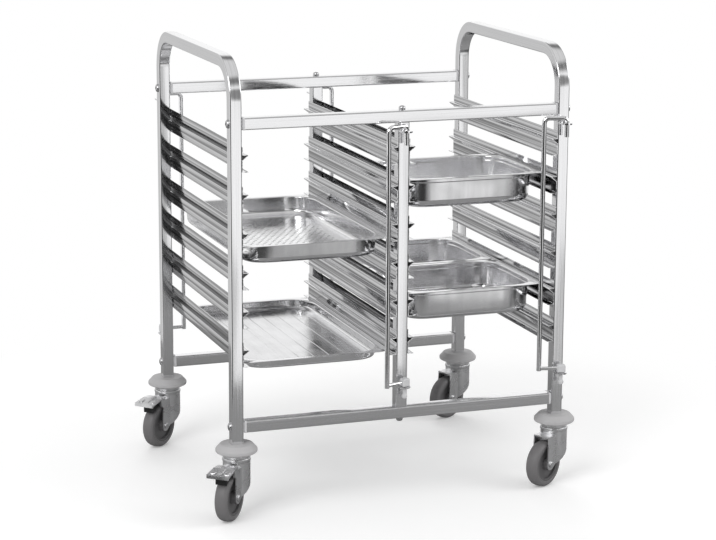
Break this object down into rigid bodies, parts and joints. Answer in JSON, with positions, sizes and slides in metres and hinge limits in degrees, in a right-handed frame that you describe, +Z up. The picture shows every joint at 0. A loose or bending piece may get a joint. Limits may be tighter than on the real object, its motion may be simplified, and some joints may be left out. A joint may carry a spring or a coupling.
{
  "type": "tray trolley",
  "caption": "Stainless tray trolley: a square-tube frame with two columns of tray slides, swinging lock bars at the front and rear, trays and pans on the slides, bumpers and swivel castors.",
  "frame": {"origin": "on the floor, at the centre of the whole footprint, castors and pedals included", "axes": "+X to the right along the long side as seen from the front, +Y to the rear, +Z up"},
  "size_m": [0.8471, 0.6886, 0.95],
  "materials": {
    "frame_steel": "polished stainless tube with a fine lengthwise grain",
    "rail_steel": "polished stainless tube with a fine lengthwise grain",
    "slide_steel": "bright folded stainless sheet",
    "tray_steel": "polished pressed stainless sheet, soft mirror",
    "rod_steel": "polished round rod",
    "bolt_steel": "satin stainless fastener",
    "plug_plastic": "light grey moulded plastic",
    "block_grey": "light grey matt moulding",
    "bumper_grey": "light grey matt moulding",
    "zinc": "zinc-plated pressing, soft shine",
    "axle_steel": "zinc-plated bolt and nut",
    "tyre_grey": "dark grey soft tread",
    "core_grey": "dark grey moulded core",
    "shoe_black": "black brake block"
  },
  "bodies": {
    "frame": {"end_frame_left": "frame_steel", "end_frame_right": "frame_steel", "bottom_rail_front": "rail_steel", "top_rail_front": "rail_steel", "centre_post_front": "rail_steel", "bottom_rail_rear": "rail_steel", "top_rail_rear": "rail_steel", "centre_post_rear": "rail_steel", "rail_end_plugs": "plug_plastic", "post_end_plugs": "plug_plastic", "frame_bolts": "bolt_steel", "post_screws": "bolt_steel", "lock_bar_tabs": "rod_steel", "wall_bumpers": "bumper_grey", "castor_mounts": "zinc", "slides_left_level_1": "slide_steel", "slides_left_level_2": "slide_steel", "slides_left_level_3": "slide_steel", "slides_left_level_4": "slide_steel", "slides_left_level_5": "slide_steel", "slides_left_level_6": "slide_steel", "slides_right_level_1": "slide_steel", "slides_right_level_2": "slide_steel", "slides_right_level_3": "slide_steel", "slides_right_level_4": "slide_steel", "slides_right_level_5": "slide_steel", "slides_right_level_6": "slide_steel"},
    "perforated_tray_body": {"perforated_tray": "tray_steel"},
    "shallow_tray_body": {"shallow_tray": "tray_steel"},
    "upper_pan_body": {"upper_pan": "tray_steel"},
    "lower_pan_front_body": {"lower_pan_front": "tray_steel"},
    "lower_pan_rear_body": {"lower_pan_rear": "tray_steel"},
    "lock_bar_front_centre": {"lock_rod_front_centre": "rod_steel", "lock_block_front_centre": "block_grey"},
    "lock_bar_front_right": {"lock_rod_front_right": "rod_steel", "lock_block_front_right": "block_grey"},
    "lock_bar_rear_centre": {"lock_rod_rear_centre": "rod_steel", "lock_block_rear_centre": "block_grey"},
    "lock_bar_rear_left": {"lock_rod_rear_left": "rod_steel", "lock_block_rear_left": "block_grey"},
    "castor_left_front": {"castor_fork_left_front": "zinc", "castor_axle_left_front": "axle_steel"},
    "wheel_left_front": {"castor_wheel_core_left_front": "core_grey", "castor_tyre_left_front": "tyre_grey"},
    "brake_left_front": {"brake_pedal_left_front": "zinc", "brake_shoe_left_front": "shoe_black"},
    "castor_left_rear": {"castor_fork_left_rear": "zinc", "castor_axle_left_rear": "axle_steel"},
    "wheel_left_rear": {"castor_wheel_core_left_rear": "core_grey", "castor_tyre_left_rear": "tyre_grey"},
    "brake_left_rear": {"brake_pedal_left_rear": "zinc", "brake_shoe_left_rear": "shoe_black"},
    "castor_right_front": {"castor_fork_right_front": "zinc", "castor_axle_right_front": "axle_steel"},
    "wheel_right_front": {"castor_wheel_core_right_front": "core_grey", "castor_tyre_right_front": "tyre_grey"},
    "castor_right_rear": {"castor_fork_right_rear": "zinc", "castor_axle_right_rear": "axle_steel"},
    "wheel_right_rear": {"castor_wheel_core_right_rear": "core_grey", "castor_tyre_right_rear": "tyre_grey"}
  },
  "joints": [
    {"name": "swivel_left_front", "type": "hinge", "parent": "frame", "child": "castor_left_front", "pos_m": [-0.3349, -0.2545, 0.1268], "axis": [0, 0, 1], "continuous": true},
    {"name": "wheel_left_front", "type": "hinge", "parent": "castor_left_front", "child": "wheel_left_front", "pos_m": [-0.35933, -0.28361, 0.05], "axis": [0.766, -0.6428, 0], "continuous": true},
    {"name": "brake_left_front", "type": "hinge", "parent": "castor_left_front", "child": "brake_left_front", "pos_m": [-0.36833, -0.29433, 0.104], "axis": [0.766, -0.6428, 0], "range_deg": [0, 8]},
    {"name": "swivel_left_rear", "type": "hinge", "parent": "frame", "child": "castor_left_rear", "pos_m": [-0.3349, 0.3005, 0.1268], "axis": [0, 0, 1], "continuous": true},
    {"name": "wheel_left_rear", "type": "hinge", "parent": "castor_left_rear", "child": "wheel_left_rear", "pos_m": [-0.36314, 0.27507, 0.05], "axis": [0.6691, -0.7431, 0], "continuous": true},
    {"name": "brake_left_rear", "type": "hinge", "parent": "castor_left_rear", "child": "brake_left_rear", "pos_m": [-0.37354, 0.26571, 0.104], "axis": [0.6691, -0.7431, 0], "range_deg": [0, 8]},
    {"name": "swivel_right_front", "type": "hinge", "parent": "frame", "child": "castor_right_front", "pos_m": [0.3801, -0.2545, 0.1268], "axis": [0, 0, 1], "continuous": true},
    {"name": "wheel_right_front", "type": "hinge", "parent": "castor_right_front", "child": "wheel_right_front", "pos_m": [0.3477, -0.27436, 0.05], "axis": [0.5225, -0.8526, 0], "continuous": true},
    {"name": "swivel_right_rear", "type": "hinge", "parent": "frame", "child": "castor_right_rear", "pos_m": [0.3801, 0.3005, 0.1268], "axis": [0, 0, 1], "continuous": true},
    {"name": "wheel_right_rear", "type": "hinge", "parent": "castor_right_rear", "child": "wheel_right_rear", "pos_m": [0.34609, 0.28354, 0.05], "axis": [0.4462, -0.8949, 0], "continuous": true},
    {"name": "lock_bar_front_centre", "type": "hinge", "parent": "frame", "child": "lock_bar_front_centre", "pos_m": [0.0226, -0.284, 0.2522], "axis": [0, 0, 1], "range_deg": [-20, 160]},
    {"name": "lock_bar_front_right", "type": "hinge", "parent": "frame", "child": "lock_bar_front_right", "pos_m": [0.3801, -0.284, 0.2522], "axis": [0, 0, 1], "range_deg": [0, 195]},
    {"name": "lock_bar_rear_centre", "type": "hinge", "parent": "frame", "child": "lock_bar_rear_centre", "pos_m": [0.0226, 0.33, 0.2522], "axis": [0, 0, 1], "range_deg": [0, 180]},
    {"name": "lock_bar_rear_left", "type": "hinge", "parent": "frame", "child": "lock_bar_rear_left", "pos_m": [-0.3349, 0.33, 0.2522], "axis": [0, 0, 1], "range_deg": [0, 180]},
    {"name": "perforated_tray_slide", "type": "slide", "parent": "frame", "child": "perforated_tray_body", "axis": [0, 1, 0], "range_m": [-0.033, 0.033]},
    {"name": "shallow_tray_slide", "type": "slide", "parent": "frame", "child": "shallow_tray_body", "axis": [0, 1, 0], "range_m": [-0.033, 0.033]},
    {"name": "upper_pan_slide", "type": "slide", "parent": "frame", "child": "upper_pan_body", "axis": [0, 1, 0], "range_m": [-0.041, 0.275]},
    {"name": "lower_pan_front_slide", "type": "slide", "parent": "frame", "child": "lower_pan_front_body", "axis": [0, 1, 0], "range_m": [-0.041, 0.002]},
    {"name": "lower_pan_rear_slide", "type": "slide", "parent": "frame", "child": "lower_pan_rear_body", "axis": [0, 1, 0], "range_m": [-0.002, 0.01]}
  ]
}
